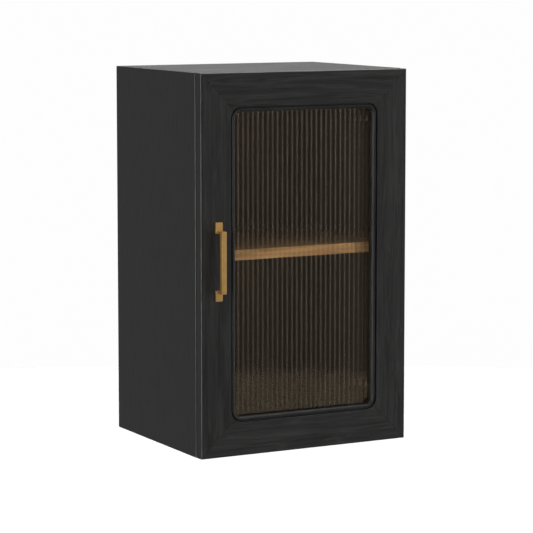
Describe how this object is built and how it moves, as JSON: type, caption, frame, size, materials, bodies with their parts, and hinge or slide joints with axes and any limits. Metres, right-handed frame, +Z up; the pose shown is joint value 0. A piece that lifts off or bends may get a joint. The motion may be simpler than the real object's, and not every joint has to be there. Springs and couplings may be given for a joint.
{
  "type": "hanging wall cabinet",
  "caption": "Wall-hung cabinet with a framed ribbed-glass door on concealed hinges, a shelf inside, a bar handle and adjustable hangers on a wall rail.",
  "frame": {"origin": "midway between the wall rail screw holes, on the wall plane", "axes": "+X to the right seen from the front, +Y into the wall, +Z up; the door faces -Y"},
  "size_m": [0.4, 0.352, 0.65],
  "materials": {
    "black_oak": "black open-grain oak, satin",
    "black_board": "black faced board, matt",
    "natural_oak": "oak, matt lacquer",
    "beech": "bare beech",
    "bronze_glass": "bronze ribbed glass",
    "satin_brass": "satin brass",
    "nickel_steel": "nickel plated",
    "zinc_steel": "zinc plated",
    "dark_plastic": "black plastic",
    "black_rubber": "black rubber"
  },
  "bodies": {
    "carcass": {"back_panel": "black_board", "bottom_panel": "black_oak", "cam_bolts": "zinc_steel", "cam_locks": "zinc_steel", "dowels": "beech", "hanger_adjusters": "zinc_steel", "hanger_body_left": "zinc_steel", "hanger_body_right": "zinc_steel", "hanger_cover_left": "dark_plastic", "hanger_cover_right": "dark_plastic", "hanger_hook_left": "zinc_steel", "hanger_hook_right": "zinc_steel", "hanger_screws": "zinc_steel", "hinge_arm_lower": "nickel_steel", "hinge_arm_pins": "nickel_steel", "hinge_arm_upper": "nickel_steel", "hinge_clamp_screws": "nickel_steel", "hinge_plate_lower": "nickel_steel", "hinge_plate_screws": "nickel_steel", "hinge_plate_upper": "nickel_steel", "left_side": "black_oak", "right_side": "black_oak", "shelf": "natural_oak", "shelf_pins": "nickel_steel", "top_panel": "black_oak", "wall_rail": "zinc_steel"},
    "long_link": {"hinge_long_link_lower": "nickel_steel", "hinge_long_link_upper": "nickel_steel"},
    "short_link": {"hinge_short_link_lower": "nickel_steel", "hinge_short_link_upper": "nickel_steel"},
    "door": {"bead_moulding": "black_oak", "clip_screws": "nickel_steel", "door_bottom_rail": "black_oak", "door_bumpers": "black_rubber", "door_glass": "bronze_glass", "door_left_stile": "black_oak", "door_right_stile": "black_oak", "door_top_rail": "black_oak", "glass_clips": "nickel_steel", "glazing_seal": "black_rubber", "handle_bar": "satin_brass", "handle_foot_lower": "satin_brass", "handle_foot_upper": "satin_brass", "handle_screws": "nickel_steel", "hinge_cup_lower": "nickel_steel", "hinge_cup_pins": "nickel_steel", "hinge_cup_screws": "nickel_steel", "hinge_cup_upper": "nickel_steel"}
  },
  "joints": [
    {"name": "long_link_turn", "type": "hinge", "parent": "carcass", "child": "long_link", "pos_m": [0.1624, -0.2965, -0.265], "axis": [0, 0, 1], "range_deg": [-21.7, 0]},
    {"name": "door_swing", "type": "hinge", "parent": "long_link", "child": "door", "pos_m": [0.1912, -0.3145, -0.265], "axis": [0, 0, 1], "range_deg": [0, 126.63]},
    {"name": "short_link_turn", "type": "hinge", "parent": "carcass", "child": "short_link", "pos_m": [0.1673, -0.3214, -0.265], "axis": [0, 0, 1], "range_deg": [-26.6, 0]}
  ],
  "couplings": [
    {"joint": "long_link_turn", "follows": "door_swing", "ratio": -0.17081},
    {"joint": "short_link_turn", "follows": "door_swing", "ratio": -0.20978}
  ]
}
